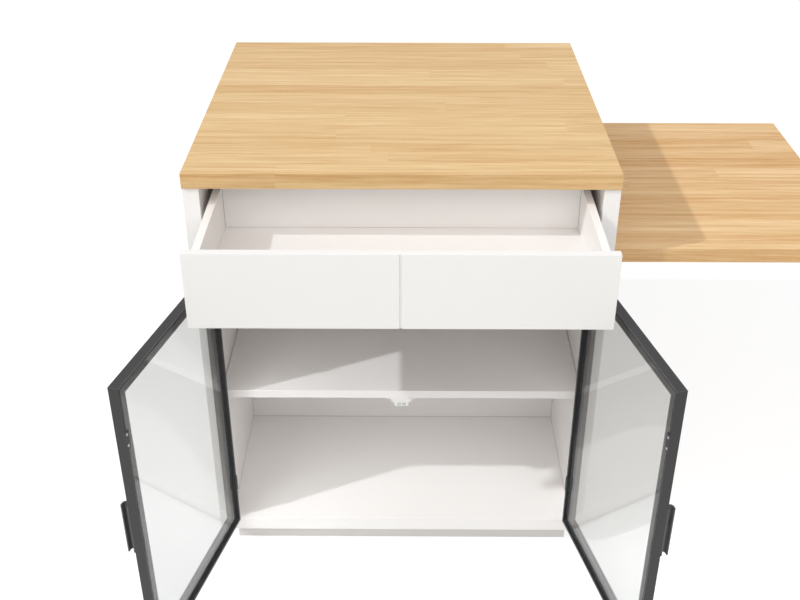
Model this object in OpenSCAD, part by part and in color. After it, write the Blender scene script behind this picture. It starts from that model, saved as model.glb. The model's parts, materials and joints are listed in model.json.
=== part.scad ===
/* [Overall] */
// Width of the worktop and of the cabinet under it
width = 800; // [700:10:1000]
// Depth of the worktop, front to back
depth = 705; // [660:5:900]
// Height from the floor to the top of the worktop
height = 935; // [900:5:980]

/* [Carcass boards] */
// Thickness of the solid wood worktop
worktop_t = 30; // [24:1:40]
// How far the worktop stands past the cabinet, front and rear
overhang = 5; // [0:1:15]
// Thickness of the side panels
side_t = 30; // [24:1:36]
// Thickness of the bottom panel
bottom_t = 30; // [20:1:36]
// Thickness of the divider between drawer and cupboard
divider_t = 18; // [16:1:22]
// Thickness of the partition between the front and the rear bay
partition_t = 4; // [3:1:10]
// Depth of the groove that holds the partition
groove_d = 8; // [5:1:10]
// Height of the plinth under the bottom panel
plinth_h = 56; // [40:2:100]
// How far the plinth stands back from the cabinet's faces
plinth_setback = 33; // [20:1:60]
// Thickness of the plinth boards
plinth_t = 18; // [15:1:25]
// Thickness of the rails under the worktop
rail_t = 18; // [16:1:20]
// Depth of each rail under the worktop
rail_d = 90; // [70:5:120]
// How far the rails stand back from the cabinet's front and rear
rail_setback = 34; // [30:1:60]

/* [Shelves] */
// Thickness of the shelves
shelf_t = 19; // [16:1:25]
// Height of the shelves' top face above the floor
shelf_z = 422; // [300:2:560]
// How far the shelves stand back from the cabinet's front and rear
shelf_setback = 24; // [22:1:60]
// Diameter of a shelf pin
pin_d = 5; // [4:1:7]
// Length of a shelf pin inside and outside its hole
pin_l = 8; // [6:1:12]

/* [Drawer] */
// Height of the drawer front
drawer_front_h = 150; // [140:2:190]
// Thickness of the drawer front
drawer_front_t = 15; // [14:1:22]
// Gap over the drawer front, where the fingers go in
finger_gap = 22; // [18:1:32]
// Gap beside the drawer front
front_gap = 2; // [1.5:0.5:4]
// Width of the groove that parts the front in two
split_w = 4; // [2:0.5:6]
// Depth of the groove that parts the front in two
split_d = 2; // [1:0.5:5]
// Height of the drawer sides and back
box_h = 110; // [90:2:118]
// Thickness of the drawer sides and back
box_t = 14; // [12:1:18]
// Height of the drawer box above the lower edge of its front
box_rise = 23; // [23:1:28]
// Length of the drawer sides and of the runners
box_l = 280; // [250:5:300]
// Thickness of the drawer floor
drawer_floor_t = 5; // [3:1:8]
// Height of the drawer floor's top above the sides' lower edge
drawer_floor_z = 19; // [14:1:30]
// How far the drawer stands pulled out
drawer_out = 198; // [0:1:250]

/* [Runners] */
// Height of the cabinet member of a runner
runner_h = 45; // [42:1:55]
// Room that a runner takes beside the drawer
runner_w = 12.7; // [12.5:0.1:14]
// Thickness of the runner's steel
runner_steel = 1.2; // [1:0.1:1.4]
// Gap between a runner's front end and the drawer front
runner_end_gap = 2; // [1:0.5:4]
// Gap between two members, filled by the balls
race_gap = 3.2; // [3:0.1:3.6]
// Number of balls in each row
ball_count = 8; // [5:1:12]

/* [Doors] */
// Thickness of a door's frame
door_t = 19; // [17:1:21]
// Gap between a door and the side panel
hinge_gap = 2; // [2:0.1:3]
// Gap between the two doors
centre_gap = 3; // [2:0.5:6]
// Gap between a door and the bottom panel
door_foot_gap = 6; // [3:0.5:10]
// Gap between a door and the drawer front
door_head_gap = 3; // [2:0.5:6]
// Width of the frame's flange, which the glass lies on
flange_w = 30; // [24:1:40]
// Thickness of the hollow flange
flange_t = 8.5; // [7:0.5:10]
// Thickness of the metal round the flange's chamber
chamber_wall = 1.8; // [1.5:0.1:2]
// Thickness of the frame's outer wall
wall_t = 5; // [4:0.5:7]
// Thickness of the glass
glass_t = 4; // [3:0.5:5]
// Thickness of the tape that bonds the glass
tape_t = 0.5; // [0.3:0.1:1]
// Gap between the glass and the frame's wall
glass_gap = 1; // [0.5:0.1:2]
// Angle that the left door stands open
left_open = 105.5; // [0:0.5:110]
// Angle that the right door stands open
right_open = 104; // [0:0.5:110]

/* [Hinges] */
// Height of a hinge
hinge_h = 37; // [30:1:50]
// Distance from a door's end to the middle of its hinge
hinge_inset = 109; // [80:1:160]
// Radius of a hinge knuckle
knuckle_r = 3; // [2.5:0.1:3.5]
// Radius of a hinge pin
hinge_pin_r = 1.25; // [1:0.05:1.5]
// Thickness of a hinge's plates
hinge_plate_t = 1.2; // [1:0.1:1.4]

/* [Door fittings] */
// Height of a handle
handle_h = 111; // [80:1:160]
// How far a handle stands out from the door
handle_out = 14; // [12:1:22]
// Thickness of a handle's metal
handle_t = 2.5; // [2:0.1:3]
// Width of a handle's base on the door
handle_base = 18; // [14:1:26]
// Distance between a handle's screws
handle_pitch = 86; // [64:1:96]
// Middle of a handle above the door's lower edge
handle_z = 326; // [200:2:440]
// Middle of a keeper plate below the door's upper edge
keeper_drop = 106; // [60:2:160]
// Height of a keeper plate
keeper_h = 37; // [30:1:50]
// Thickness of the steel strips that the catch holds
strip_t = 0.8; // [0.5:0.1:1]
// Width of the catch's fixing ears
catch_w = 65; // [60:1:80]

/* [Leaf] */
// Length of the leaf, out from the cabinet's side
leaf_l = 500; // [400:10:600]
// Width of the leaf, along the cabinet's side
leaf_w = 600; // [460:2:640]
// Thickness of the leaf
leaf_t = 30; // [22:1:36]
// Height of the leaf's top above the floor
leaf_z = 750; // [700:1:780]
// Gap between the leaf and the side panel
leaf_gap = 1.5; // [1:0.5:4]

/* [Leaf brackets] */
// Distance of each bracket from the leaf's middle
bracket_y = 90; // [60:5:200]
// Distance of the folding axis from the side panel
pivot_out = 22; // [22:1:30]
// Distance of the folding axis below the leaf
pivot_drop = 12; // [12:0.5:18]
// Distance from the folding axis down to the stay's lower rivet
stay_a = 99; // [90:3:120]
// Distance from the folding axis out to the stay's upper rivet
stay_b = 132; // [126:3:180]
// Thickness of the bracket's steel
steel_t = 3; // [2:0.5:4]
// Width of a bracket's flanges
leg_w = 26; // [24:1:36]
// Width of a stay's links
link_w = 12; // [10:1:13]
// Radius of a bracket's rivets
rivet_r = 2.5; // [2:0.1:3]

/* [Hidden] */
$fn = 40;

// Clearances
run = 0.05;
fit = 0.05;
slip = 0.3;
slack = 1;
eps = 0.01;

// Cabinet: x runs along its width, y from front to rear, z up, origin on the floor at its middle
in_w = width - 2*side_t;
front_y = -depth/2 + overhang;
rear_y = -front_y;
case_top = height - worktop_t;
floor_z = plinth_h + bottom_t;
drawer_top = case_top - finger_gap;
drawer_foot = drawer_top - drawer_front_h;
box_z = drawer_foot + box_rise;
divider_gap = 5;
divider_top = box_z - divider_gap;
divider_y = front_y + door_t + 2;
shelf_under = shelf_z - shelf_t;
partition_room = partition_t/2 + slip;
shelf_depth = rear_y - shelf_setback - partition_t/2 - slack;
shelf_w = in_w - 2*slack;
plinth_x = width/2 - plinth_setback;
plinth_y = rear_y - plinth_setback;

// Cam fittings: each joint has a bolt in the side panel and a cam in the board's lower face
cam_r = 7.5;
cam_depth = 12.5;
cam_inset = 34;
cam_bolt_r = 3;
cam_bolt_in = 11;
rail_under = case_top - rail_t;
cam_end = 60;
// [lower face, thickness, places along y]
cam_joints = [[plinth_h, bottom_t, [front_y + cam_end, -cam_end, cam_end, rear_y - cam_end]],
    [divider_top - divider_t, divider_t, [divider_y + cam_end, -cam_end]],
    [rail_under, rail_t, [for (s = [-1, 1]) s*(rear_y - rail_setback - rail_d/2)]]];

// Screws: [shank radius, head radius, head height]
wood_screw = [2, 4, 2.2];
small_screw = [1.75, 3.4, 1.5];
worktop_screw_x = in_w/3;
worktop_screw_in = 15;

// Shelf pins stand at both ends of each shelf
pin_in = 40;
pin_y_front = [front_y + shelf_setback + pin_in, -pin_in - partition_t];
pin_y_all = concat(pin_y_front, [for (y = pin_y_front) -y]);

// Drawer
box_w = in_w - 2*runner_w;
front_w = in_w - 2*front_gap;
box_front = front_y + drawer_front_t;
groove_in = 6;
floor_fit = 5.5;
runner_z = box_z + box_h/2;
runner_screw_in = 30;
runner_screws_y = [runner_screw_in, box_l/2, box_l - runner_screw_in];

// Runner section, u from the side panel, v from the runner's middle height
middle_v = runner_h/2 - runner_steel - race_gap;
drawer_v = middle_v - runner_steel - race_gap;
middle_u = 3.5;
ball_r = race_gap/2 - 0.15;
cage_t = 1.6;
cage_end = 5;
cage_l = box_l/2 - 2*cage_end;

// Doors, drawn closed and then swung open about the pivot
door_w = (in_w - 2*hinge_gap - centre_gap)/2;
door_x = -in_w/2 + hinge_gap;
door_foot = floor_z + door_foot_gap;
door_head = drawer_foot - door_head_gap;
door_h = door_head - door_foot;
door_back = front_y + door_t;
glass_face = front_y + flange_t + tape_t + glass_t;
free_x = door_x + door_w;
pivot_x = -in_w/2 - 0.5;
pivot_y = front_y - 1.5;
knuckle_room = knuckle_r + 0.4;
knuckle_h = hinge_h/3;
hinge_levels = [door_foot + hinge_inset, door_head - hinge_inset];
hinge_leaf_l = 32;
hinge_clip_gap = 0.7;

// Handle and keeper plate are screwed into the free stile's wall
stile_screw_x = free_x - wall_t/2;
stile_screw = [1.4, 2.4, 1];
handle_lip = 5;
handle_mid = door_foot + handle_z;
keeper_w = 9;
keeper_t = 1.2;
keeper_mid = door_head - keeper_drop;
keeper_pitch = 23;
strip_h = 18;

// Catch under the front shelf; its magnets stop short of the doors' steel strips
catch_y = door_back + strip_t + 1;
catch_ear_t = 2.5;
catch_body = [43, 28, 7];
catch_nose = [29, 24, 11];
catch_mid = shelf_under - catch_body.z - catch_nose.z/2;
tape_inset = 4;

// Leaf and its brackets; the folding axis runs along y
leaf_x = width/2 + leaf_gap;
leaf_under = leaf_z - leaf_t;
axis_x = width/2 + pivot_out;
axis_z = leaf_under - pivot_drop;
layer = steel_t + 0.5;
stay = sqrt(stay_a*stay_a + stay_b*stay_b);
lower_link = (stay - (stay_b - stay_a))/2;
upper_link = stay - lower_link;
stay_angle = atan2(stay_a, stay_b);
leg_edge = link_w/2 + 0.5;
wall_leg_past_rivet = 30;
leaf_leg_past_rivet = 130;
wall_leg_l = stay_a + wall_leg_past_rivet;
leaf_leg_l = stay_b + leaf_leg_past_rivet;
leaf_web_y = -3*layer;
leg_screw_in = 35;
leg_screw_end = 12;
wall_screw_z = [-leg_screw_in, -stay_a*2/3, -wall_leg_l + leg_screw_end];
leaf_screw_x = [leg_screw_in, leaf_leg_l/2, leaf_leg_l - leg_screw_end];

// A bar along y with its outline in x and z
module slab(t) {
    translate([0, t, 0]) rotate([90, 0, 0]) linear_extrude(height = t) children();
}

module board(low, high) {
    translate(low) cube(high - low);
}

// A screw with its head on the plane z = 0, pointing up
module screw(kind, length) {
    translate([0, 0, -kind[2]]) cylinder(r = kind[1], h = kind[2]);
    translate([0, 0, -eps]) cylinder(r = kind[0], h = length + eps);
}

// Both ends of a piece along x
module both_ends() {
    for (s = [0, 1]) mirror([s, 0, 0]) children();
}

// A closed left door's piece, swung open about its pins
module swung(angle) {
    translate([pivot_x, pivot_y, 0]) rotate([0, 0, -angle])
        translate([-pivot_x, -pivot_y, 0]) children();
}
module hung_left() {
    swung(left_open) children();
}
module hung_right() {
    mirror([1, 0, 0]) swung(right_open) children();
}

// ---- Worktop, carcass and plinth ----

module worktop() {
    color("burlywood") difference() {
        board([-width/2, -depth/2, case_top], [width/2, depth/2, height]);
        worktop_screws(fit, 0.5);
    }
}

module worktop_screws(grow, deeper) {
    for (x = [-1, 1]*worktop_screw_x, s = [-1, 1])
        translate([x, s*(rear_y - rail_setback - rail_d/2), rail_under])
            screw(wood_screw + [grow, 0, 0], rail_t + worktop_screw_in + deeper);
}

// The left side panel, with all that is bored or cut into its inner face
module side_panel() {
    color("white") difference() {
        board([-width/2, front_y, plinth_h], [-in_w/2, rear_y, case_top]);
        board([-in_w/2 - groove_d, -partition_room, floor_z - groove_d],
            [-in_w/2 + eps, partition_room, case_top + eps]);
        for (j = cam_joints, y = j[2]) translate([-in_w/2 - cam_bolt_in, y, j[0] + j[1]/2])
            rotate([0, 90, 0]) cylinder(r = cam_bolt_r + fit, h = cam_bolt_in + 1);
        for (y = pin_y_all) translate([-in_w/2 - pin_l, y, shelf_under - pin_d/2])
            rotate([0, 90, 0]) cylinder(r = pin_d/2 + fit, h = pin_l + 1);
        for (z = hinge_levels) {
            translate([pivot_x, pivot_y, z - hinge_h/2 - slip])
                cylinder(r = knuckle_room, h = hinge_h + 2*slip);
            board([-in_w/2 - hinge_plate_t, front_y - 1, z - hinge_h/2 - slip],
                [-in_w/2 + eps, front_y + hinge_leaf_l + slip, z + hinge_h/2 + slip]);
            hinge_plate_screws(z, fit, 0.5);
        }
        runner_panel_screws(fit, 0.5);
    }
}

module side_panel_left() {
    side_panel();
}

module side_panel_right() {
    difference() {
        mirror([1, 0, 0]) side_panel();
        leg_wall_screws(fit, 0.5);
    }
}

module bottom_panel() {
    color("white") difference() {
        board([-in_w/2, front_y, plinth_h], [in_w/2, rear_y, floor_z]);
        board([-in_w, -partition_room, floor_z - groove_d], [in_w, partition_room, height]);
        cam_bores(cam_joints[0]);
    }
}

module divider_panel() {
    color("white") difference() {
        board([-in_w/2, divider_y, divider_top - divider_t], [in_w/2, -partition_room, divider_top]);
        cam_bores(cam_joints[1]);
    }
}

module cam_bores(j) {
    for (y = j[2]) both_ends() {
        translate([-in_w/2 + cam_inset, y, j[0] - eps]) cylinder(r = cam_r, h = cam_depth);
        translate([-in_w/2 - 1, y, j[0] + j[1]/2]) rotate([0, 90, 0])
            cylinder(r = cam_bolt_r + slip, h = cam_inset);
    }
}

module centre_partition() {
    color("whitesmoke")
        board([-in_w/2 - groove_d + slip, -partition_t/2, floor_z - groove_d + slip],
            [in_w/2 + groove_d - slip, partition_t/2, case_top]);
}

module shelf() {
    board([-shelf_w/2, front_y + shelf_setback, shelf_under],
        [shelf_w/2, front_y + shelf_setback + shelf_depth, shelf_z]);
}

module front_shelf() {
    color("white") shelf();
}

module rear_shelf() {
    color("white") mirror([0, 1, 0]) shelf();
}

module top_rails() {
    color("white") for (s = [0, 1]) mirror([0, s, 0]) difference() {
        board([-in_w/2, front_y + rail_setback, rail_under],
            [in_w/2, front_y + rail_setback + rail_d, case_top]);
        cam_bores(cam_joints[2]);
        worktop_screws(slip, 0);
    }
}

module plinth_long_boards() {
    color("gainsboro") for (s = [0, 1]) mirror([0, s, 0])
        board([-plinth_x, -plinth_y, 0], [plinth_x, -plinth_y + plinth_t, plinth_h]);
}

// Two end boards and one brace under the middle of the bottom panel
module plinth_cross_boards() {
    color("gainsboro") for (x = [-plinth_x, -plinth_t/2, plinth_x - plinth_t])
        board([x, -plinth_y + plinth_t, 0], [x + plinth_t, plinth_y - plinth_t, plinth_h]);
}

module shelf_pins() {
    color("silver") for (y = pin_y_all) both_ends()
        translate([-in_w/2 - pin_l, y, shelf_under - pin_d/2]) rotate([0, 90, 0])
            cylinder(d = pin_d, h = 2*pin_l);
}

module cam_locks() {
    color("silver") for (j = cam_joints, y = j[2]) both_ends()
        translate([-in_w/2 + cam_inset, y, j[0]]) difference() {
            cylinder(r = cam_r - 0.1, h = cam_depth - 0.5);
            translate([-5, -0.8, -1]) cube([10, 1.6, 3]);
        }
}

module cam_bolts() {
    color("silver") for (j = cam_joints, y = j[2]) both_ends()
        translate([-in_w/2 - cam_bolt_in, y, j[0] + j[1]/2]) rotate([0, 90, 0])
            cylinder(r = cam_bolt_r, h = cam_bolt_in + cam_inset - cam_r);
}

// ---- Screws that stay with the cabinet ----

module hinge_plate_screws(z, grow, deeper) {
    for (dz = [-1, 1]*hinge_h/4) translate([-in_w/2, front_y + hinge_leaf_l - 8, z + dz])
        rotate([0, -90, 0]) screw([1.5 + grow, 2.6, 0.6], 14 + deeper);
}

module runner_panel_screws(grow, deeper) {
    for (y = runner_screws_y) translate([-in_w/2 + runner_steel, box_front + y, runner_z])
        rotate([0, -90, 0]) screw(small_screw + [grow, 0, 0], 14 + deeper);
}

module leg_wall_screws(grow, deeper) {
    for (s = [-1, 1], z = wall_screw_z)
        translate([width/2 + steel_t, s*bracket_y + leg_w/2 - 6, axis_z + z])
            rotate([0, -90, 0]) screw(wood_screw + [grow, 0, 0], 18 + deeper);
}

module cabinet_screws() {
    color("silver") {
        worktop_screws(0, 0);
        both_ends() {
            for (z = hinge_levels) hinge_plate_screws(z, 0, 0);
            runner_panel_screws(0, 0);
        }
        leg_wall_screws(0, 0);
    }
}

// ---- Double catch under the front shelf ----

module catch_housing() {
    color("white") difference() {
        union() {
            board([-catch_w/2, catch_y + 4, shelf_under - catch_ear_t],
                [catch_w/2, catch_y + catch_body.y - 4, shelf_under]);
            board([-catch_body.x/2, catch_y, shelf_under - catch_body.z],
                [catch_body.x/2, catch_y + catch_body.y, shelf_under]);
            board([-catch_nose.x/2, catch_y, shelf_under - catch_body.z - catch_nose.z],
                [catch_nose.x/2, catch_y + catch_nose.y, shelf_under - catch_body.z + eps]);
        }
        both_ends() catch_magnet(0.1);
        for (x = [-1, 1]*(catch_w/2 - 5))
            translate([x, catch_y + catch_body.y/2, shelf_under - 5]) cylinder(r = 1.7, h = 10);
    }
}

module catch_magnet(grow) {
    board([1.5 - grow, catch_y - 0.5 - grow, catch_mid - 3 - grow],
        [8.5 + grow, catch_y + 12, catch_mid + 3 + grow]);
}

module catch_magnets() {
    color("dimgray") both_ends() catch_magnet(0);
}

// ---- Drawer ----

// Drawer pieces are drawn shut and pulled out by drawer_out
module pulled_out(share) {
    translate([0, -drawer_out*share, 0]) children();
}

module drawer_front() {
    color("white") pulled_out(1) difference() {
        board([-front_w/2, front_y, drawer_foot], [front_w/2, box_front, drawer_top]);
        board([-split_w/2, front_y - 1, drawer_foot - 1],
            [split_w/2, front_y + split_d, drawer_top + 1]);
        floor_groove();
    }
}

// The room that the drawer floor needs in the pieces round it
module floor_groove() {
    board([-box_w/2 + box_t - groove_in, box_front - groove_in,
            box_z + drawer_floor_z - drawer_floor_t - 0.1],
        [box_w/2 - box_t + groove_in, box_front + box_l - box_t + groove_in,
            box_z + drawer_floor_z + 0.1]);
}

module drawer_side() {
    color("white") pulled_out(1) difference() {
        board([-box_w/2, box_front, box_z], [-box_w/2 + box_t, box_front + box_l, box_z + box_h]);
        floor_groove();
        drawer_side_screws(fit, 0.5);
    }
}

module drawer_side_left() {
    drawer_side();
}

module drawer_side_right() {
    mirror([1, 0, 0]) drawer_side();
}

module drawer_back() {
    color("white") pulled_out(1) difference() {
        board([-box_w/2 + box_t, box_front + box_l - box_t, box_z],
            [box_w/2 - box_t, box_front + box_l, box_z + box_h]);
        floor_groove();
    }
}

module drawer_floor() {
    color("whitesmoke") pulled_out(1)
        board([-box_w/2 + box_t - floor_fit, box_front - floor_fit,
                box_z + drawer_floor_z - drawer_floor_t],
            [box_w/2 - box_t + floor_fit, box_front + box_l - box_t + floor_fit,
                box_z + drawer_floor_z]);
}

module drawer_side_screws(grow, deeper) {
    for (y = runner_screws_y)
        translate([-in_w/2 + runner_w - runner_steel, box_front + y, runner_z])
            rotate([0, 90, 0]) screw(small_screw + [grow, 0, 0], 10 + deeper);
}

module drawer_screws() {
    color("silver") pulled_out(1) both_ends() drawer_side_screws(0, 0);
}

// ---- Runners ----

// A channel along the runner: web from u0, flanges reaching u1, half height v
module channel(u0, u1, v, web_u) {
    translate([-in_w/2, box_front, runner_z]) {
        board([web_u, runner_end_gap, -v], [web_u + runner_steel, box_l, v]);
        for (s = [0, 1]) mirror([0, 0, s])
            board([u0, runner_end_gap, v - runner_steel], [u1, box_l, v]);
    }
}

module runner_cabinet() {
    color("silver") difference() {
        channel(0, 9, runner_h/2, 0);
        runner_panel_screws(fit, 0);
    }
}

module runner_cabinet_left() {
    runner_cabinet();
}

module runner_cabinet_right() {
    mirror([1, 0, 0]) runner_cabinet();
}

module runner_middle() {
    color("silver") pulled_out(0.5) channel(middle_u, 10.5, middle_v, middle_u);
}

module runner_middle_left() {
    runner_middle();
}

module runner_middle_right() {
    mirror([1, 0, 0]) runner_middle();
}

module runner_drawer() {
    color("silver") pulled_out(1) difference() {
        channel(6, runner_w, drawer_v, runner_w - runner_steel);
        drawer_side_screws(fit, 0);
    }
}

module runner_drawer_left() {
    runner_drawer();
}

module runner_drawer_right() {
    mirror([1, 0, 0]) runner_drawer();
}

// A row of balls whose cage lies on the middle member's flange at height v, from y on
module ball_row(u, v, y, side) {
    translate([-in_w/2 + u, box_front + y, runner_z + v]) mirror([0, 0, side]) {
        board([-1.8, 0, 0], [1.8, cage_l, cage_t]);
        for (i = [0 : ball_count - 1])
            translate([0, cage_l*(i + 0.5)/ball_count, race_gap/2]) sphere(r = ball_r);
    }
}

// The outer rows run in the cabinet member, the inner rows in the drawer member
module runner_balls() {
    color("gold") pulled_out(0.5) for (s = [0, 1]) mirror([0, 0, s]) translate([0, 0, -s*2*runner_z]) {
        ball_row(6, middle_v, box_l - cage_end - cage_l, 0);
        ball_row(8, middle_v - runner_steel, cage_end, 1);
    }
}

module runner_balls_left() {
    runner_balls();
}

module runner_balls_right() {
    mirror([1, 0, 0]) runner_balls();
}

// ---- Door frames: four mitred angle profiles round each pane ----

module mitred(l, w) {
    polygon([[0, 0], [l, 0], [l - w, w], [w, w]]);
}

// Runs past both mitres, so that the chamber is open at them
module chamber(l) {
    low = wall_t;
    high = flange_w - chamber_wall;
    polygon([[low - 1, low], [l - low + 1, low], [l - high + 1, high], [high - 1, high]]);
}

// Hollow profile along x, its outer wall on z = 0 and its outer face on y = 0
module frame_bar(l) {
    difference() {
        union() {
            slab(flange_t) mitred(l, flange_w);
            slab(door_t) mitred(l, wall_t);
        }
        translate([0, chamber_wall, 0]) slab(flange_t - 2*chamber_wall) chamber(l);
    }
}

module door_top_rail() {
    color("dimgray") translate([door_x, front_y, door_head]) mirror([0, 0, 1]) frame_bar(door_w);
}

module door_bottom_rail() {
    color("dimgray") translate([door_x, front_y, door_foot]) frame_bar(door_w);
}

module door_hinge_stile() {
    color("dimgray") difference() {
        translate([door_x, front_y, door_foot]) mirror([1, 0, -1]) frame_bar(door_h);
        for (z = hinge_levels) translate([pivot_x, pivot_y, z - hinge_h/2 - slip])
            cylinder(r = knuckle_room, h = hinge_h + 2*slip);
    }
}

module door_free_stile() {
    color("dimgray") difference() {
        translate([free_x, front_y, door_foot]) mirror([1, 0, 0]) mirror([1, 0, -1])
            frame_bar(door_h);
        handle_screws(fit, 0.5);
        keeper_screws(fit, 0.5);
    }
}

module door_glass() {
    color("lightblue", 0.35)
        board([door_x + wall_t + glass_gap, front_y + flange_t + tape_t, door_foot + wall_t + glass_gap],
            [free_x - wall_t - glass_gap, glass_face, door_head - wall_t - glass_gap]);
}

// A flat ring of tape between the flange and the glass
module door_glass_tape() {
    tape_w = flange_w - wall_t - glass_gap - tape_inset;
    color("black") translate([door_x, front_y + flange_t, door_foot]) slab(tape_t) difference() {
        tape_ring(wall_t + glass_gap);
        tape_ring(wall_t + glass_gap + tape_w);
    }
}

module tape_ring(inset) {
    translate([inset, inset]) square([door_w - 2*inset, door_h - 2*inset]);
}

// ---- Handles, keeper plates and their screws ----

// A base on the door's face and a round grip that opens towards the free edge
module handle_outline() {
    translate([free_x - handle_base, front_y - handle_t]) square([handle_base, handle_t]);
    translate([free_x - handle_lip, front_y - handle_out]) square([handle_lip, handle_t]);
    intersection() {
        translate([free_x - handle_lip, front_y - handle_out/2]) difference() {
            circle(r = handle_out/2);
            circle(r = handle_out/2 - handle_t);
        }
        translate([free_x - handle_lip - handle_out, front_y - handle_out]) square(handle_out);
    }
}

module door_handle() {
    color("dimgray") difference() {
        translate([0, 0, handle_mid - handle_h/2]) linear_extrude(height = handle_h)
            handle_outline();
        handle_screws(fit, 0.2);
    }
}

// From the wall's rear edge through to the handle's base
module handle_screws(grow, deeper) {
    for (s = [-1, 1]) translate([stile_screw_x, door_back, handle_mid + s*handle_pitch/2])
        rotate([90, 0, 0]) screw(stile_screw + [grow, 0, 0], door_t + handle_t - 0.7 + deeper);
}

module keeper_screws(grow, deeper) {
    for (s = [-1, 1]) translate([stile_screw_x, door_back + keeper_t, keeper_mid + s*keeper_pitch/2])
        rotate([90, 0, 0]) screw(stile_screw + [grow, 0, 0], keeper_t + 10 + deeper);
}

// A screwed plate, and the bonded steel strip that the catch holds
module door_keeper_plates() {
    color("dimgray") {
        difference() {
            board([free_x - keeper_w, door_back, keeper_mid - keeper_h/2],
                [free_x, door_back + keeper_t, keeper_mid + keeper_h/2]);
            keeper_screws(fit, 0);
        }
        board([free_x - wall_t, door_back, catch_mid - strip_h/2],
            [free_x, door_back + strip_t, catch_mid + strip_h/2]);
    }
}

module door_screws() {
    color("lightgray") {
        handle_screws(0, 0);
        keeper_screws(0, 0);
    }
}

// ---- Hinges ----

// The door's part: two knuckles, and a clip that grips the frame's wall
module door_hinge_plates() {
    color("dimgray") for (z = hinge_levels) difference() {
        union() {
            translate([pivot_x, pivot_y, z - hinge_h/2]) cylinder(r = knuckle_r, h = hinge_h);
            board([door_x - hinge_plate_t, pivot_y, z - hinge_h/2],
                [door_x, door_back + hinge_plate_t, z + hinge_h/2]);
            board([door_x - hinge_plate_t, door_back, z - hinge_h/2],
                [door_x + wall_t + hinge_plate_t, door_back + hinge_plate_t, z + hinge_h/2]);
            board([door_x + wall_t, glass_face + hinge_clip_gap, z - hinge_h/2],
                [door_x + wall_t + hinge_plate_t, door_back + hinge_plate_t, z + hinge_h/2]);
        }
        translate([pivot_x, pivot_y, z - hinge_h]) cylinder(r = hinge_pin_r + run, h = 2*hinge_h);
        translate([pivot_x, pivot_y, z - knuckle_h/2 - slip])
            cylinder(r = knuckle_room, h = knuckle_h + 2*slip);
    }
}

// The cabinet's part: the middle knuckle and a plate let into the side panel
module hinge_cabinet_plates() {
    color("dimgray") both_ends() for (z = hinge_levels) difference() {
        union() {
            translate([pivot_x, pivot_y, z - knuckle_h/2]) cylinder(r = knuckle_r, h = knuckle_h);
            board([-in_w/2 - hinge_plate_t, pivot_y, z - hinge_h/2],
                [-in_w/2, front_y + hinge_leaf_l, z + hinge_h/2]);
        }
        translate([pivot_x, pivot_y, z - hinge_h]) cylinder(r = hinge_pin_r, h = 2*hinge_h);
        for (s = [0, 1]) translate([0, 0, z]) mirror([0, 0, s]) translate([pivot_x, pivot_y, knuckle_h/2])
            cylinder(r = knuckle_room, h = hinge_h);
        hinge_plate_screws(z, fit, 0);
    }
}

module hinge_pins() {
    color("silver") both_ends() for (z = hinge_levels)
        translate([pivot_x, pivot_y, z - hinge_h/2]) cylinder(r = hinge_pin_r, h = hinge_h);
}

// ---- Leaf on two folding brackets ----

module at_brackets() {
    for (s = [-1, 1]) translate([axis_x, s*bracket_y, axis_z]) children();
}

// A bore or rivet along y from y0 to y1
module cross_pin(x, z, r, y0, y1) {
    translate([x, y1, z]) rotate([90, 0, 0]) cylinder(r = r, h = y1 - y0);
}

module bracket_wall_legs() {
    color("white") at_brackets() difference() {
        union() {
            board([-pivot_out, -leg_w/2, -wall_leg_l], [-pivot_out + steel_t, leg_w/2, leg_edge]);
            board([-pivot_out, -steel_t/2, -wall_leg_l], [leg_edge, steel_t/2, 0]);
            board([-pivot_out, -steel_t/2, -wall_leg_l], [0, steel_t/2, leg_edge]);
            cross_pin(0, 0, leg_edge, -steel_t/2, steel_t/2);
        }
        cross_pin(0, 0, rivet_r + run, -leg_w, leg_w);
        cross_pin(0, -stay_a, rivet_r + run, -leg_w, leg_w);
        for (z = wall_screw_z) translate([-pivot_out - 1, leg_w/2 - 6, z]) rotate([0, 90, 0])
            cylinder(r = wood_screw[0] + fit, h = steel_t + 2);
    }
}

// Main pivots with their spacers, and the lower rivets of the stays
module bracket_pivot_pins() {
    color("silver") at_brackets() {
        cross_pin(0, 0, rivet_r, leaf_web_y - steel_t/2 - 1.5, steel_t/2 + 2);
        cross_pin(0, 0, rivet_r + 2, leaf_web_y + steel_t/2 + slip, -steel_t/2 - slip);
        cross_pin(0, 0, rivet_r + 2, steel_t/2, steel_t/2 + 2);
        cross_pin(0, 0, rivet_r + 2, leaf_web_y - steel_t/2 - 1.5, leaf_web_y - steel_t/2 - slip);
        cross_pin(0, -stay_a, rivet_r, -layer - steel_t/2, steel_t/2 + 2);
        cross_pin(0, -stay_a, rivet_r + 2, steel_t/2, steel_t/2 + 2);
    }
}

module leaf_board() {
    color("burlywood") difference() {
        board([leaf_x, -leaf_w/2, leaf_under], [leaf_x + leaf_l, leaf_w/2, leaf_z]);
        leaf_leg_screws(fit, 0.5);
    }
}

module bracket_leaf_legs() {
    color("white") at_brackets() difference() {
        union() {
            board([-leg_edge - 3, -leg_w/2, pivot_drop - steel_t], [leaf_leg_l, leg_w/2, pivot_drop]);
            board([-leg_edge - 3, leaf_web_y - steel_t/2, -leg_edge - 2],
                [leaf_leg_l, leaf_web_y + steel_t/2, pivot_drop]);
        }
        cross_pin(0, 0, rivet_r + run, -leg_w, leg_w);
        cross_pin(stay_b, 0, rivet_r + run, -leg_w, leg_w);
        for (x = leaf_screw_x) translate([x, leg_w/2 - 6, 0])
            cylinder(r = wood_screw[0] + fit, h = pivot_drop + 1);
    }
}

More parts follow.
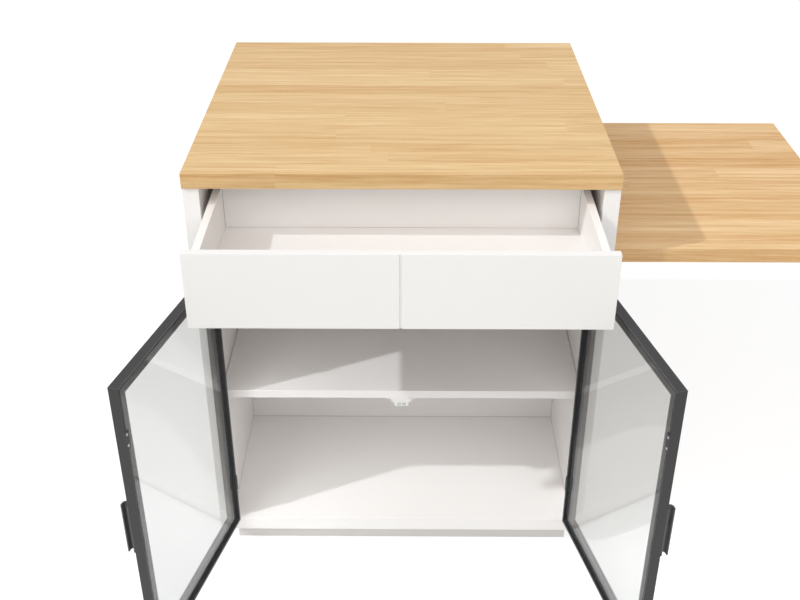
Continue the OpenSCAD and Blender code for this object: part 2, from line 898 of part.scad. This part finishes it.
module leaf_leg_screws(grow, deeper) {
    at_brackets() for (x = leaf_screw_x) translate([x, leg_w/2 - 6, pivot_drop - steel_t])
        screw(wood_screw + [grow, 0, 0], steel_t + 16 + deeper);
}

// Wood screws of the leaf's legs and the upper rivets of the stays
module leaf_fasteners() {
    color("silver") {
        leaf_leg_screws(0, 0);
        at_brackets() {
            cross_pin(stay_b, 0, rivet_r, leaf_web_y - steel_t/2 - 1.5, -2*layer + steel_t/2);
            cross_pin(stay_b, 0, rivet_r + 2, leaf_web_y - steel_t/2 - 1.5, leaf_web_y - steel_t/2);
        }
    }
}

// A flat link with round ends, from its rivet hole at the origin to its knee at x = l
module link(l) {
    rotate([90, 0, 0]) translate([0, 0, -steel_t/2]) linear_extrude(height = steel_t) difference() {
        union() {
            translate([0, -link_w/2]) square([l, link_w]);
            for (x = [0, l]) translate([x, 0]) circle(d = link_w);
        }
        circle(r = rivet_r + run);
    }
}

module bracket_lower_links() {
    color("white") at_brackets() translate([0, -layer, -stay_a])
        rotate([0, -stay_angle, 0]) link(lower_link);
}

module bracket_upper_links() {
    color("white") at_brackets() translate([stay_b, -2*layer, 0])
        rotate([0, 180 - stay_angle, 0]) link(upper_link);
}

worktop();
side_panel_left();
side_panel_right();
bottom_panel();
divider_panel();
centre_partition();
front_shelf();
rear_shelf();
top_rails();
plinth_long_boards();
plinth_cross_boards();
shelf_pins();
cam_locks();
cam_bolts();
cabinet_screws();
catch_housing();
catch_magnets();
runner_cabinet_left();
runner_cabinet_right();
hinge_cabinet_plates();
hinge_pins();
bracket_wall_legs();
bracket_pivot_pins();
drawer_front();
drawer_side_left();
drawer_side_right();
drawer_back();
drawer_floor();
runner_drawer_left();
runner_drawer_right();
drawer_screws();
runner_middle_left();
runner_middle_right();
runner_balls_left();
runner_balls_right();
hung_left() door_top_rail();  // door_left_top_rail
hung_left() door_bottom_rail();  // door_left_bottom_rail
hung_left() door_hinge_stile();  // door_left_hinge_stile
hung_left() door_free_stile();  // door_left_free_stile
hung_left() door_glass();  // door_left_glass
hung_left() door_glass_tape();  // door_left_glass_tape
hung_left() door_handle();  // door_left_handle
hung_left() door_keeper_plates();  // door_left_keeper_plates
hung_left() door_screws();  // door_left_screws
hung_left() door_hinge_plates();  // door_left_hinge_plates
hung_right() door_top_rail();  // door_right_top_rail
hung_right() door_bottom_rail();  // door_right_bottom_rail
hung_right() door_hinge_stile();  // door_right_hinge_stile
hung_right() door_free_stile();  // door_right_free_stile
hung_right() door_glass();  // door_right_glass
hung_right() door_glass_tape();  // door_right_glass_tape
hung_right() door_handle();  // door_right_handle
hung_right() door_keeper_plates();  // door_right_keeper_plates
hung_right() door_screws();  // door_right_screws
hung_right() door_hinge_plates();  // door_right_hinge_plates
leaf_board();
bracket_leaf_legs();
leaf_fasteners();
bracket_lower_links();
bracket_upper_links();
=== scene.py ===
import json
import math

import bmesh
import bpy
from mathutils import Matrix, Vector


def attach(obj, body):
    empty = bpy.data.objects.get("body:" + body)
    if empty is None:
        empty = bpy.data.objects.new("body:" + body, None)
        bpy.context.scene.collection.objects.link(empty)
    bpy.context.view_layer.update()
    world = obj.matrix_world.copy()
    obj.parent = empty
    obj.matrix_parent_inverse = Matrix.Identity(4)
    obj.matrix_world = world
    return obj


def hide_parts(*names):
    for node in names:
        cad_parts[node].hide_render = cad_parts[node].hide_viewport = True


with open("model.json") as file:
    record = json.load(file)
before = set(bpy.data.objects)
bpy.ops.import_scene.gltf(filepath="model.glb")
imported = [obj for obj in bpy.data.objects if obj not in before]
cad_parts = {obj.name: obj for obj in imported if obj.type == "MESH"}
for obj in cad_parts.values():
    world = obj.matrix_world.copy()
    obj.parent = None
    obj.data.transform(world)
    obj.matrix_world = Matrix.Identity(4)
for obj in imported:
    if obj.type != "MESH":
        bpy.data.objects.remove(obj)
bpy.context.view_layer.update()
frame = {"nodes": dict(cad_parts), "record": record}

# ---- Plinth ----
# Five boards of lacquered fibreboard that stand on edge and carry the bottom panel.
# They are sawn square and sprayed with the same matt white lacquer as the carcass. Their
# colour is set a little greyer, painted shade for their place under the cabinet.

MM = 0.001
BODY_OF = {node: body for body, nodes in frame["record"]["behaviour"]["bodies"].items()
           for node in nodes}


def linear(hex_code, alpha=1.0):
    """A linear colour from its sRGB hex code, by the sRGB curve."""
    parts = [int(hex_code[i:i + 2], 16) / 255 for i in (1, 3, 5)]
    return [c / 12.92 if c <= 0.04045 else ((c + 0.055) / 1.055) ** 2.4 for c in parts] + [alpha]


def add(tree, kind, inputs=None, **settings):
    """Adds one shader node with its settings and its input values or links."""
    made = tree.nodes.new("ShaderNode" + kind)
    for name, value in settings.items():
        setattr(made, name, value)
    for socket, value in (inputs or {}).items():
        if isinstance(value, bpy.types.NodeSocket):
            tree.links.new(value, made.inputs[socket])
        else:
            made.inputs[socket].default_value = value
    return made


def new_finish(name):
    """A new material, and its node tree, which is still empty."""
    material = bpy.data.materials.new(name)
    material.use_nodes = True
    material.node_tree.nodes.clear()
    return material, material.node_tree


def show(tree, surface):
    """Ends a material's tree with its surface."""
    add(tree, "OutputMaterial", {"Surface": surface})


def matt_lacquer(name, colour, shade, peel_mm=1.6, corner_shade_mm=0.8, clouds_per_metre=9.0):
    """Sprayed lacquer on fibreboard: an even matt white with a fine orange peel.

    It clouds a little from one hand's breadth to the next. In every inner corner, also where two
    boards meet, an ambient occlusion darkens the colour: a thin grey line of painted shade.
    """
    material, tree = new_finish(name)
    place = add(tree, "TexCoord").outputs["Object"]
    peel = add(tree, "TexNoise", {"Vector": place, "Scale": 1 / (peel_mm * MM), "Detail": 2.0})
    cloud = add(tree, "TexNoise", {"Vector": place, "Scale": clouds_per_metre, "Detail": 3.0})
    tone = add(tree, "Mix", {"Factor": cloud.outputs["Fac"],
                             "A": linear(colour), "B": linear(shade)}, data_type="RGBA")
    # Painted shade: ambient occlusion darkens the colour in corners and seams.
    painted_corner_shade = add(tree, "AmbientOcclusion", {"Color": tone.outputs["Result"],
                                          "Distance": corner_shade_mm * MM}, samples=6)
    gloss = add(tree, "MapRange", {"Value": peel.outputs["Fac"], "To Min": 0.42, "To Max": 0.54})
    bump = add(tree, "Bump", {"Height": peel.outputs["Fac"], "Strength": 0.06,
                              "Distance": 0.1 * MM})
    paint = add(tree, "BsdfPrincipled", {"Base Color": painted_corner_shade.outputs["Color"], "IOR": 1.5,
                                         "Roughness": gloss.outputs["Result"],
                                         "Normal": bump.outputs["Normal"]})
    show(tree, paint.outputs["BSDF"])
    return material


def put(name, data):
    """A new object in the scene."""
    made = bpy.data.objects.new(name, data)
    bpy.context.scene.collection.objects.link(made)
    return made


ABOVE_ALL = 9.0  # a height above every piece, in metres
WELD_MM = 0.002  # corners that lie nearer than this are one
FLAT_DEGREES = 0.3  # faces that meet at less than this are one
EDGE_DEGREES = 40  # edges that turn more than this are eased


def made_from(node, edge_mm, material, segments=2, part="", heights=(-ABOVE_ALL, ABOVE_ALL),
              edge_material=None):
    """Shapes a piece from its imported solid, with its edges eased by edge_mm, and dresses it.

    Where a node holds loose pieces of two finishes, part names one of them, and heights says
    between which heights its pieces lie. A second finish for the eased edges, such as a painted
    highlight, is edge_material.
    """
    mesh = bpy.data.meshes.new(node + part)
    form = bmesh.new()
    form.from_mesh(frame["nodes"][node].data)
    other = [v for v in form.verts if not heights[0] < v.co.z < heights[1]]
    bmesh.ops.delete(form, geom=other, context="VERTS")
    bmesh.ops.remove_doubles(form, verts=form.verts, dist=WELD_MM * MM)
    bmesh.ops.dissolve_limit(form, angle_limit=math.radians(FLAT_DEGREES), verts=form.verts,
                             edges=form.edges)
    for face in form.faces:
        face.smooth = True
        face.material_index = 0
    form.to_mesh(mesh)
    form.free()
    mesh.attributes.remove(mesh.attributes["custom_normal"])
    mesh.materials.clear()
    mesh.materials.append(material)
    piece = put(node + part + "_piece", mesh)
    eased = piece.modifiers.new("eased_edges", "BEVEL")
    eased.width = edge_mm * MM
    eased.segments = segments
    eased.limit_method = "ANGLE"
    eased.angle_limit = math.radians(EDGE_DEGREES)
    eased.harden_normals = True
    if edge_material:
        mesh.materials.append(edge_material)
        eased.material = 1
    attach(piece, BODY_OF[node])
    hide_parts(node)
    return piece


# Greyer than the carcass's lacquer: painted shade.
plinth_lacquer_painted_shade = matt_lacquer("plinth_lacquer_painted_shade", "#E6E3E1", "#E3E0DE")
for node in ("plinth_long_boards", "plinth_cross_boards"):
    made_from(node, 0.5, plinth_lacquer_painted_shade)

# ---- Carcass boards ----
# Side panels, bottom panel, divider, rails and shelves of 18 to 30 mm fibreboard. The
# edges are eased with a pass of sandpaper, and all faces are sprayed matt white, so the
# eye sees one even white, with a soft line of painted shade where two boards meet.

white_lacquer = matt_lacquer("white_lacquer", "#F6F3F1", "#F4F1EF")
for node in ("side_panel_left", "side_panel_right", "bottom_panel"):
    made_from(node, 0.8, white_lacquer)
for node in ("divider_panel", "front_shelf", "rear_shelf", "top_rails"):
    made_from(node, 0.6, white_lacquer)

# ---- Centre partition ----
# A thin foil-faced panel that slides into grooves between the front and the rear bay.
# The foil is white and a touch smoother than the sprayed boards.

# Its painted shade in corners and seams reaches a little wider than on the boards.
foil = matt_lacquer("white_foil", "#F4F1EF", "#F2EFED", peel_mm=0.8, corner_shade_mm=1.4)
made_from("centre_partition", 0.3, foil)

# ---- Cam fittings, screws and shelf pins ----
# Turned and pressed steel with a bright zinc plating. They hold the boards together and
# show only inside, as small cold glints.


def zinc_plate(name, colour, dark, roughness, mottle_mm=3):
    """Zinc plated steel: a cold grey metal, faintly mottled by the plating bath."""
    material, tree = new_finish(name)
    place = add(tree, "TexCoord").outputs["Object"]
    mottle = add(tree, "TexNoise", {"Vector": place, "Scale": 1 / (mottle_mm * MM),
                                    "Detail": 3.0})
    tone = add(tree, "Mix", {"Factor": mottle.outputs["Fac"],
                             "A": linear(colour), "B": linear(dark)}, data_type="RGBA")
    gloss = add(tree, "MapRange", {"Value": mottle.outputs["Fac"], "To Min": roughness - 0.06,
                                   "To Max": roughness + 0.08})
    metal = add(tree, "BsdfPrincipled", {"Base Color": tone.outputs["Result"], "Metallic": 1.0,
                                         "Roughness": gloss.outputs["Result"]})
    show(tree, metal.outputs["BSDF"])
    return material


def dress(node, material):
    """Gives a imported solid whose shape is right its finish."""
    for slot in frame["nodes"][node].material_slots:
        slot.material = material


bright_zinc = zinc_plate("bright_zinc", "#C9CACB", "#B9BABC", 0.32)
for node in ("cam_locks", "cam_bolts", "cabinet_screws", "shelf_pins", "hinge_pins"):
    dress(node, bright_zinc)

# ---- Worktop ----
# Solid light wood, glued up from staves of about 48 mm that run from left to right, planed
# flush and oiled. Each stave keeps its own tone, its bands of growth and its long thin
# fibres, the upright edges are darker, partly from the oil they took up and partly as painted
# shade, and all corners are rounded by hand.


def stave_wood(name, pale, brown, seed, contrast, edge_oil_and_shade, stave_mm=48, length_mm=780):
    """Oiled staves: each has its own tone, broad bands of growth and long thin fibres.

    Real fibres are a few tenths of a millimetre thick. They are drawn coarser, so that they show.
    """
    material, tree = new_finish(name)
    place = add(tree, "TexCoord").outputs["Object"]
    axes = add(tree, "SeparateXYZ", {"Vector": place})

    across = add(tree, "Math", {0: axes.outputs["Y"], 1: 1 / (stave_mm * MM), 2: seed},
                 operation="MULTIPLY_ADD")
    row = add(tree, "Math", {0: across.outputs[0]}, operation="FLOOR").outputs[0]
    row_chance = add(tree, "TexWhiteNoise", {"W": row}, noise_dimensions="1D")
    along = add(tree, "Math", {0: axes.outputs["X"], 1: 1 / (length_mm * MM),
                               2: row_chance.outputs["Value"]}, operation="MULTIPLY_ADD")
    place_in_row = add(tree, "Math", {0: along.outputs[0]}, operation="FLOOR")
    stave = add(tree, "CombineXYZ", {"X": row, "Y": place_in_row.outputs[0], "Z": seed})
    chance = add(tree, "TexWhiteNoise", {"Vector": stave.outputs["Vector"]},
                 noise_dimensions="3D")
    pick = add(tree, "SeparateColor", {"Color": chance.outputs["Color"]})
    shift = add(tree, "Math", {0: pick.outputs["Red"], 1: 40.0}, operation="MULTIPLY").outputs[0]

    def grain(along_mm, across_mm, detail, low, high):
        """Stretched noise along the staves, from 0 to 1, drawn anew for each stave."""
        per_metre = (1 / (along_mm * MM), 1 / (across_mm * MM), 1 / (across_mm * MM))
        stretch = add(tree, "Mapping", {"Vector": place, "Scale": per_metre})
        noise = add(tree, "TexNoise", {"Vector": stretch.outputs["Vector"], "W": shift,
                                       "Scale": 1.0, "Detail": detail, "Roughness": 0.6},
                    noise_dimensions="4D")
        return add(tree, "MapRange", {"Value": noise.outputs["Fac"], "From Min": low,
                                      "From Max": high}).outputs["Result"]

    bands = grain(380, 11, 2.0, 0.34, 0.66)
    streaks = grain(190, 3.8, 2.0, 0.36, 0.66)
    fibres = grain(60, 1.3, 2.0, 0.38, 0.68)
    flecks = grain(14, 1.7, 1.0, 0.64, 0.76)
    facing = add(tree, "SeparateXYZ", {"Vector": add(tree, "TexCoord").outputs["Normal"]})
    level = add(tree, "Math", {0: facing.outputs["Z"]}, operation="ABSOLUTE")
    # Upright faces are darker: partly oil soaked into the edges, partly painted shade.
    on_edge_oil_and_shade = add(tree, "Math", {0: level.outputs[0], 1: 0.7}, operation="LESS_THAN").outputs[0]

    depth = add(tree, "Math", {0: bands, 1: 0.3}, operation="MULTIPLY").outputs[0]
    for layer, share in ((pick.outputs["Blue"], contrast), (streaks, 0.29), (fibres, 0.24),
                         (flecks, 0.2), (on_edge_oil_and_shade, edge_oil_and_shade)):
        depth = add(tree, "Math", {0: layer, 1: share, 2: depth},
                    operation="MULTIPLY_ADD").outputs[0]
    tone = add(tree, "Mix", {"Factor": depth, "A": linear(pale), "B": linear(brown)},
               data_type="RGBA")
    height = add(tree, "Math", {0: fibres, 1: -0.5, 2: 1.0}, operation="MULTIPLY_ADD")
    bump = add(tree, "Bump", {"Height": height.outputs[0], "Strength": 0.15,
                              "Distance": 0.12 * MM})
    gloss = add(tree, "MapRange", {"Value": depth, "To Min": 0.42, "To Max": 0.58})
    oiled = add(tree, "BsdfPrincipled", {"Base Color": tone.outputs["Result"], "IOR": 1.46,
                                         "Roughness": gloss.outputs["Result"],
                                         "Normal": bump.outputs["Normal"]})
    show(tree, oiled.outputs["BSDF"])
    return material


WOOD_EDGE_MM = 1.6
worktop_wood = stave_wood("oiled_stave_wood", "#EDD09D", "#BF8E52", seed=3.37, contrast=0.2,
                          edge_oil_and_shade=0.05)
made_from("worktop", WOOD_EDGE_MM, worktop_wood, segments=3)

# ---- Drawer runners ----
# Rolled steel channels, zinc plated, one inside the other with two rows of hard balls
# between them. The cages are pressed sheet and look yellower than the channels.

SIDES = ("left", "right")
runner_zinc = zinc_plate("runner_zinc", "#C4C6C8", "#ACAEB1", 0.3)
ball_cage = zinc_plate("ball_cage_steel", "#CBBE93", "#B9AC80", 0.25)
for side in SIDES:
    for member in ("cabinet", "middle", "drawer"):
        made_from(f"runner_{member}_{side}", 0.25, runner_zinc)
    dress("runner_balls_" + side, ball_cage)

# ---- Drawer ----
# A wide board with a groove down its middle that makes it look like two fronts, on a box
# of 14 mm boards with a thin hardboard floor let into a groove all round. All of it is
# sprayed or foiled white, but the floor's lower face stays raw and brown.


def foil_on_hardboard(name, white, brown, pale_brown, fibre_mm=2.2):
    """Hardboard with white foil on its upper face: fibres and brown show on its lower face."""
    material, tree = new_finish(name)
    place = add(tree, "TexCoord").outputs["Object"]
    level = add(tree, "SeparateXYZ", {"Vector": add(tree, "NewGeometry").outputs["Normal"]})
    down = add(tree, "Math", {0: level.outputs["Z"], 1: -0.5}, operation="LESS_THAN")
    fibre = add(tree, "TexNoise", {"Vector": place, "Scale": 1 / (fibre_mm * MM), "Detail": 5.0,
                                   "Roughness": 0.7})
    raw = add(tree, "Mix", {"Factor": fibre.outputs["Fac"],
                            "A": linear(brown), "B": linear(pale_brown)}, data_type="RGBA")
    tone = add(tree, "Mix", {"Factor": down.outputs[0],
                             "A": linear(white), "B": raw.outputs["Result"]}, data_type="RGBA")
    gloss = add(tree, "MapRange", {"Value": down.outputs[0], "To Min": 0.48, "To Max": 0.85})
    bump = add(tree, "Bump", {"Height": fibre.outputs["Fac"], "Strength": 0.08,
                              "Distance": 0.1 * MM})
    panel = add(tree, "BsdfPrincipled", {"Base Color": tone.outputs["Result"], "IOR": 1.5,
                                         "Roughness": gloss.outputs["Result"],
                                         "Normal": bump.outputs["Normal"]})
    show(tree, panel.outputs["BSDF"])
    return material


# The front's lacquer is set greyer than the carcass's, to hold down the strong light on it:
# painted shade.
made_from("drawer_front", 0.7, matt_lacquer("front_lacquer_painted_darker", "#EEECEA", "#ECEAE8"))
for node in ("drawer_side_left", "drawer_side_right", "drawer_back"):
    made_from(node, 0.6, white_lacquer)
floor_board = foil_on_hardboard("drawer_floor_board", "#F4F1EF", "#74573C", "#8A6A4A")
made_from("drawer_floor", 0.3, floor_board)
dress("drawer_screws", bright_zinc)

# ---- Double catch ----
# A moulded part of white ABS that hangs under the shelf by two screwed ears. Of each magnet
# the edges of its two grey steel poles show in front, with the white cover between them.
# They hold each door by a steel strip on its free stile.


def moulded_abs(name, colour, spark_mm=0.5):
    """Moulded ABS: white with a soft sheen and the mould's fine spark texture.

    The real texture is finer. It is drawn coarser, so that it shows.
    """
    material, tree = new_finish(name)
    place = add(tree, "TexCoord").outputs["Object"]
    spark = add(tree, "TexNoise", {"Vector": place, "Scale": 1 / (spark_mm * MM),
                                   "Detail": 2.0})
    bump = add(tree, "Bump", {"Height": spark.outputs["Fac"], "Strength": 0.15,
                              "Distance": 0.05 * MM})
    gloss = add(tree, "MapRange", {"Value": spark.outputs["Fac"], "To Min": 0.32, "To Max": 0.46})
    plastic = add(tree, "BsdfPrincipled", {"Base Color": linear(colour), "IOR": 1.53,
                                           "Roughness": gloss.outputs["Result"],
                                           "Normal": bump.outputs["Normal"]})
    show(tree, plastic.outputs["BSDF"])
    return material


def middle_height(node):
    """The height halfway between a node's lowest and highest point."""
    levels = [v.co.z for v in frame["nodes"][node].data.vertices]
    return (min(levels) + max(levels)) / 2


def covered_poles(name, steel, cover, middle_z, cover_mm=2.8, pole_mm=1.3, satin_mm=0.6):
    """The edges of two satin steel poles, with white plastic between and round them.

    The satin is drawn coarser than it is, so that it shows.
    """
    material, tree = new_finish(name)
    place = add(tree, "TexCoord").outputs["Object"]
    level = add(tree, "SeparateXYZ", {"Vector": place}).outputs["Z"]
    away = add(tree, "Math", {0: level, 1: middle_z}, operation="SUBTRACT").outputs[0]
    away = add(tree, "Math", {0: away}, operation="ABSOLUTE").outputs[0]
    is_pole = add(tree, "Math", {0: away, 1: (cover_mm + pole_mm) / 2 * MM, 2: pole_mm / 2 * MM},
                  operation="COMPARE").outputs[0]
    satin = add(tree, "TexNoise", {"Vector": place, "Scale": 1 / (satin_mm * MM), "Detail": 2.0})
    gloss = add(tree, "MapRange", {"Value": satin.outputs["Fac"], "To Min": 0.34, "To Max": 0.5})
    pole = add(tree, "BsdfPrincipled", {"Base Color": linear(steel), "Metallic": 1.0,
                                        "Roughness": gloss.outputs["Result"]})
    plastic = add(tree, "BsdfPrincipled", {"Base Color": linear(cover), "IOR": 1.53,
                                           "Roughness": gloss.outputs["Result"]})
    both = add(tree, "MixShader", {0: is_pole, 1: plastic.outputs["BSDF"],
                                   2: pole.outputs["BSDF"]})
    show(tree, both.outputs["Shader"])
    return material


made_from("catch_housing", 0.5, moulded_abs("white_abs", "#EFEEEB"))
dress("catch_magnets", covered_poles("magnet_poles_and_cover", "#6A6764", "#EFEEEB",
                                     middle_height("catch_magnets")))

# ---- Door frames ----
# Four extruded hollow aluminium profiles per door, mitred at the corners and powder coated
# dark grey. The coat is matt, with a fine sandy texture. Its eased edges get a paler coat,
# thinner there and also a painted highlight, so a pale hair line runs along them and across each
# mitre.
# The doors' slim metal casts no shadow, so the sun's patches in the cupboard stay as clean as in
# the photograph.


def powder_coat(name, colour, pale, grit_mm=0.9):
    """Powder coated metal: matt and even, with a fine sandy texture.

    The real grit is finer. It is drawn coarser, so that it shows.
    """
    material, tree = new_finish(name)
    place = add(tree, "TexCoord").outputs["Object"]
    grit = add(tree, "TexNoise", {"Vector": place, "Scale": 1 / (grit_mm * MM), "Detail": 3.0})
    tone = add(tree, "Mix", {"Factor": grit.outputs["Fac"],
                             "A": linear(colour), "B": linear(pale)}, data_type="RGBA")
    gloss = add(tree, "MapRange", {"Value": grit.outputs["Fac"], "To Min": 0.38, "To Max": 0.52})
    bump = add(tree, "Bump", {"Height": grit.outputs["Fac"], "Strength": 0.2,
                              "Distance": 0.08 * MM})
    coat = add(tree, "BsdfPrincipled", {"Base Color": tone.outputs["Result"], "IOR": 1.5,
                                        "Roughness": gloss.outputs["Result"],
                                        "Normal": bump.outputs["Normal"]})
    show(tree, coat.outputs["BSDF"])
    return material


dark_coat = powder_coat("dark_powder_coat", "#202022", "#272728")
# A paler coat on the eased edges: a painted highlight along them.
edge_highlight_coat = powder_coat("painted_highlight_coat_on_edges", "#6E6E70", "#808082")
for side in SIDES:
    for bar in ("top_rail", "bottom_rail", "hinge_stile", "free_stile"):
        profile = made_from(f"door_{side}_{bar}", 0.4, dark_coat, edge_material=edge_highlight_coat)
        profile.visible_shadow = False

# ---- Door glass and its tape ----
# A pane of 4 mm float glass with ground edges, bonded to the frame's flange with a dark
# foam tape. The glass is clear and takes almost no light away, so the panes cast no shadow.


def float_glass(name, tint):
    """Clear float glass: smooth on both faces, with a trace of grey."""
    material, tree = new_finish(name)
    pane = add(tree, "BsdfPrincipled", {"Base Color": linear(tint), "Roughness": 0.0, "IOR": 1.52,
                                        "Transmission Weight": 1.0})
    show(tree, pane.outputs["BSDF"])
    return material


def foam_tape(name, colour, cell_mm=0.7):
    """Closed-cell foam tape: a soft dark grey with small cells."""
    material, tree = new_finish(name)
    place = add(tree, "TexCoord").outputs["Object"]
    cells = add(tree, "TexVoronoi", {"Vector": place, "Scale": 1 / (cell_mm * MM)})
    bump = add(tree, "Bump", {"Height": cells.outputs["Distance"], "Strength": 0.2,
                              "Distance": 0.1 * MM})
    foam = add(tree, "BsdfPrincipled", {"Base Color": linear(colour), "Roughness": 0.85,
                                        "Normal": bump.outputs["Normal"]})
    show(tree, foam.outputs["BSDF"])
    return material


clear_glass = float_glass("clear_float_glass", "#DFE0DF")
dark_tape = foam_tape("dark_foam_tape", "#4A4A4A")
for side in SIDES:
    made_from(f"door_{side}_glass", 0.4, clear_glass).visible_shadow = False
    made_from(f"door_{side}_glass_tape", 0.05, dark_tape, segments=1).visible_shadow = False

# ---- Handles, keeper plates and door screws ----
# The handle is a length of extruded edge pull with a rounded grip, coated paler than the
# frame, a painted light that lifts its shaded grip, and screwed on through the free stile with
# dark screws. The keeper plate is dark pressed steel with two bright ones, and the strip below it
# is bonded on for the catch.

# Paler than the frame's coat: painted light on the shaded grip.
handle_coat_painted_paler = powder_coat("handle_coat_with_painted_light", "#444446", "#4E4E50", grit_mm=0.7)
plate_coat = powder_coat("dark_plate_coat", "#242426", "#2D2D2F", grit_mm=0.6)
for side in SIDES:
    made_from(f"door_{side}_handle", 0.5, handle_coat_painted_paler).visible_shadow = False
    made_from(f"door_{side}_keeper_plates", 0.25, plate_coat).visible_shadow = False
    screws = f"door_{side}_screws"
    middle = middle_height(screws)
    made_from(screws, 0.1, plate_coat, part="_handle", heights=(0, middle))
    made_from(screws, 0.1, bright_zinc, part="_keeper", heights=(middle, ABOVE_ALL))

# ---- Hinges ----
# Pressed steel butt hinges, coated dark. The cabinet's plate is let into the side panel,
# and the door's plate folds round the stile and grips it from behind.

made_from("hinge_cabinet_plates", 0.25, plate_coat)
for side in SIDES:
    made_from(f"door_{side}_hinge_plates", 0.25, plate_coat).visible_shadow = False

# ---- Side leaf ----
# A board of the same oiled staves as the worktop, cut from another blank, so its staves
# fall differently. Its edges are rounded in the same way.

# On the leaf the much darker upright edges are mostly painted shade.
leaf_wood = stave_wood("oiled_leaf_wood", "#F8DAAA", "#C69357", seed=11.8, contrast=0.36,
                       edge_oil_and_shade=0.3)
made_from("leaf_board", WOOD_EDGE_MM, leaf_wood, segments=3)

# ---- Folding brackets ----
# T-shaped steel legs on the side panel and under the leaf, with a stay of two flat links.
# All are powder coated white and riveted, and the rivets and screws are bright zinc.

white_coat = powder_coat("white_powder_coat", "#E9E8E6", "#E4E3E1", grit_mm=0.8)
for piece in ("wall_legs", "leaf_legs", "lower_links", "upper_links"):
    made_from("bracket_" + piece, 0.4, white_coat)
for node in ("bracket_pivot_pins", "leaf_fasteners"):
    dress(node, bright_zinc)

# ---- Floor ----
# A seamless pale studio floor. To the camera it is lifted to the white of the background
# and keeps only a faint shadow. Behind the panes it is lifted less, so the shadow is deeper.

FLOOR_SIZE = 14.0
floor_mesh = bpy.data.meshes.new("floor")
floor_form = bmesh.new()
bmesh.ops.create_grid(floor_form, x_segments=1, y_segments=1, size=FLOOR_SIZE / 2)
floor_form.to_mesh(floor_mesh)
floor_form.free()
floor = put("floor", floor_mesh)
floor_paint, tree = new_finish("studio_floor")
own = add(tree, "BsdfDiffuse", {"Color": linear("#DCDBD8")})


def lifted(tree, veil_colour, strength):
    """A dimmer diffuse floor with a glow of its own, which thins its shadows."""
    veil = add(tree, "BsdfDiffuse", {"Color": linear(veil_colour)})
    glow = add(tree, "Emission", {"Color": linear("#FFFFFF"), "Strength": strength})
    both = add(tree, "AddShader", {0: veil.outputs["BSDF"], 1: glow.outputs["Emission"]})
    return both.outputs["Shader"]


def sharp_rays(tree):
    """The light path, and a mask of the camera's and the glossy rays, which see pure white."""
    ray = add(tree, "LightPath")
    seen = add(tree, "Math", {0: ray.outputs["Is Camera Ray"], 1: ray.outputs["Is Glossy Ray"]},
               operation="MAXIMUM")
    return ray, seen


ray, seen = sharp_rays(tree)
both = add(tree, "MixShader", {0: seen.outputs[0], 1: own.outputs["BSDF"],
                               2: lifted(tree, "#9E9E9E", 0.74)})
both = add(tree, "MixShader", {0: ray.outputs["Is Transmission Ray"], 1: both.outputs["Shader"],
                               2: lifted(tree, "#D4D4D4", 0.4)})
show(tree, both.outputs["Shader"])
floor_mesh.materials.append(floor_paint)

# ---- Light ----
# One soft sun from the upper left, a wide softbox in front that reaches into the cupboard,
# and an even warm room round them. The background is pure white to the camera.

SUN_FALL = Vector((1.06, 0.46, -1.0))
sun_data = bpy.data.lights.new("sun", "SUN")
sun_data.energy = 1.33
sun_data.angle = math.radians(1.5)
sun_data.color = (0.945, 0.985, 1.0)
sun = put("sun", sun_data)
sun.rotation_euler = SUN_FALL.to_track_quat("-Z", "Y").to_euler()

SOFTBOX_PLACE = Vector((0.0, -2.6, 3.2))
SOFTBOX_AIM = Vector((0, -0.3, 0.5))
softbox_data = bpy.data.lights.new("softbox", "AREA")
softbox_data.shape = "RECTANGLE"
softbox_data.size = 6.0
softbox_data.size_y = 1.8
softbox_data.energy = 58.0
softbox_data.color = (1.0, 0.995, 0.985)
softbox = put("softbox", softbox_data)
softbox.location = SOFTBOX_PLACE
softbox.rotation_euler = (SOFTBOX_AIM - SOFTBOX_PLACE).to_track_quat("-Z", "Y").to_euler()

room = bpy.data.worlds.new("white_room")
room.use_nodes = True
room.node_tree.nodes.clear()
tree = room.node_tree
ray, seen = sharp_rays(tree)
soft = add(tree, "Background", {"Color": (1.0, 0.99, 0.985, 1.0), "Strength": 0.61})
white = add(tree, "Background", {"Color": (1.0, 1.0, 1.0, 1.0), "Strength": 1.0})
seen = add(tree, "Math", {0: seen.outputs[0], 1: ray.outputs["Is Transmission Ray"]},
           operation="MAXIMUM")
both = add(tree, "MixShader", {0: seen.outputs[0], 1: soft.outputs["Background"],
                               2: white.outputs["Background"]})
add(tree, "OutputWorld", {"Surface": both.outputs["Shader"]})
bpy.context.scene.world = room
bpy.context.scene.view_settings.view_transform = "Standard"

# ---- Camera ----
# The photograph's own view: its place, tilt, lens and shift come from the calibration of
# the worktop's, the drawer's and the cupboard's edges.

CAMERA_PLACE = Vector((0.0101, -2.0150, 1.7686))
CAMERA_DOWN = math.radians(28.62)
CAMERA_TURN = math.radians(0.35)
camera_data = bpy.data.cameras.new("camera")
camera_data.lens = 46.494
camera_data.sensor_width = 36.0
camera_data.shift_x = -0.0016
camera_data.shift_y = -0.112
camera_data.clip_start = 0.05
camera = put("camera", camera_data)
camera.location = CAMERA_PLACE
camera.rotation_euler = (math.pi / 2 - CAMERA_DOWN, 0, CAMERA_TURN)
bpy.context.scene.camera = camera
